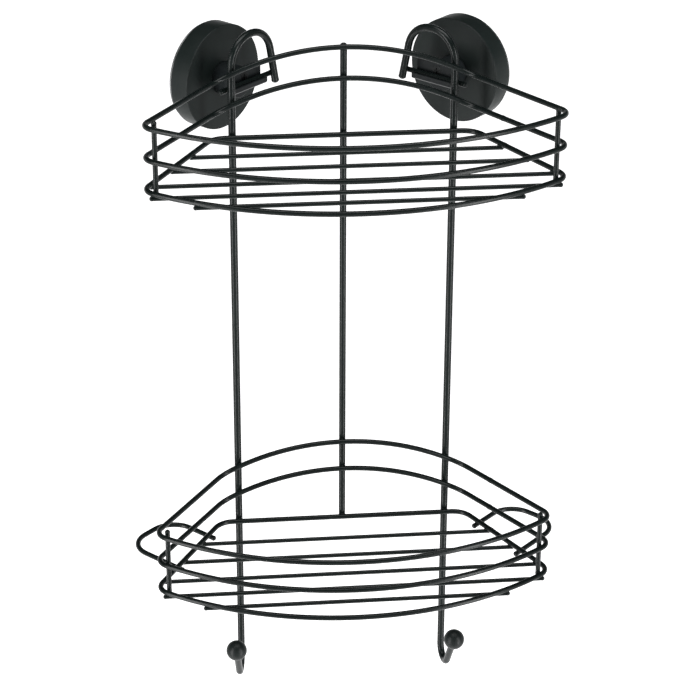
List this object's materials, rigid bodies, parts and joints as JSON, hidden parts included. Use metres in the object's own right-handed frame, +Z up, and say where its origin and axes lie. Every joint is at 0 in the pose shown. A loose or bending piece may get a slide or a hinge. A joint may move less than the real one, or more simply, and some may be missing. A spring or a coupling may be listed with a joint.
{
  "type": "corner shower caddy",
  "caption": "Tiered wire corner rack with arched basket backs, wall spacers and ball-ended towel hooks, hung by its rods on twist-lock suction mounts.",
  "frame": {"origin": "midway between the points where the axes of the two suction mounts meet the walls", "axes": "+Z up; -Y out of the corner into the room along the rack's plane of symmetry; +X to the right seen from the room; the walls are the upright planes y = x + 84.6 mm and y = 84.6 mm - x"},
  "size_m": [0.281, 0.1965, 0.4613],
  "materials": {
    "black_steel": "satin black powder coat on steel wire",
    "ball_coat": "satin black coat on a steel ball",
    "black_plastic": "fine matte black moulding",
    "hub_plastic": "satin black moulding",
    "pad_rubber": "smooth dark soft pad",
    "plain_steel": "turned bright steel",
    "screw_steel": "black oxide",
    "slip_washer": "natural slippery plastic"
  },
  "bodies": {
    "wall_mounts": {"left_suction_pad": "pad_rubber", "left_base_plate": "black_plastic", "left_friction_washer": "slip_washer", "left_hub": "hub_plastic", "left_hanging_bracket": "hub_plastic", "left_bracket_screw": "screw_steel", "right_suction_pad": "pad_rubber", "right_base_plate": "black_plastic", "right_friction_washer": "slip_washer", "right_hub": "hub_plastic", "right_hanging_bracket": "hub_plastic", "right_bracket_screw": "screw_steel"},
    "rack": {"left_rod": "black_steel", "right_rod": "black_steel", "centre_rod": "black_steel", "upper_base_ring": "black_steel", "upper_middle_rail": "black_steel", "upper_top_rail": "black_steel", "upper_left_post": "black_steel", "upper_right_post": "black_steel", "upper_floor_wire_1": "black_steel", "upper_floor_wire_2": "black_steel", "upper_floor_wire_3": "black_steel", "upper_floor_wire_4": "black_steel", "upper_floor_wire_5": "black_steel", "lower_base_ring": "black_steel", "lower_middle_rail": "black_steel", "lower_top_rail": "black_steel", "lower_left_post": "black_steel", "lower_right_post": "black_steel", "lower_floor_wire_1": "black_steel", "lower_floor_wire_2": "black_steel", "lower_floor_wire_3": "black_steel", "lower_floor_wire_4": "black_steel", "lower_floor_wire_5": "black_steel", "left_wall_spacer": "black_steel", "right_wall_spacer": "black_steel", "left_hanger_bar": "black_steel", "right_hanger_bar": "black_steel", "left_hook_ball": "ball_coat", "right_hook_ball": "ball_coat"},
    "left_cover": {"left_twist_cover": "black_plastic"},
    "right_cover": {"right_twist_cover": "black_plastic"},
    "left_stud": {"left_draw_stud": "plain_steel"},
    "right_stud": {"right_draw_stud": "plain_steel"}
  },
  "joints": [
    {"name": "rack_lift", "type": "slide", "parent": "wall_mounts", "child": "rack", "axis": [0, 0, 1], "range_m": [0, 0.015]},
    {"name": "left_cover_turn", "type": "hinge", "parent": "wall_mounts", "child": "left_cover", "pos_m": [-0.08457, 0, 0], "axis": [0.7071, -0.7071, 0], "range_deg": [0, 90]},
    {"name": "right_cover_turn", "type": "hinge", "parent": "wall_mounts", "child": "right_cover", "pos_m": [0.08457, 0, 0], "axis": [-0.7071, -0.7071, 0], "range_deg": [0, 90]},
    {"name": "left_stud_pull", "type": "slide", "parent": "wall_mounts", "child": "left_stud", "axis": [0.7071, -0.7071, 0], "range_m": [-0.002, 0]},
    {"name": "right_stud_pull", "type": "slide", "parent": "wall_mounts", "child": "right_stud", "axis": [-0.7071, -0.7071, 0], "range_m": [-0.002, 0]}
  ],
  "couplings": [
    {"joint": "left_stud_pull", "follows": "left_cover_turn", "m_per_rad": -0.00127},
    {"joint": "right_stud_pull", "follows": "right_cover_turn", "m_per_rad": -0.00127}
  ]
}
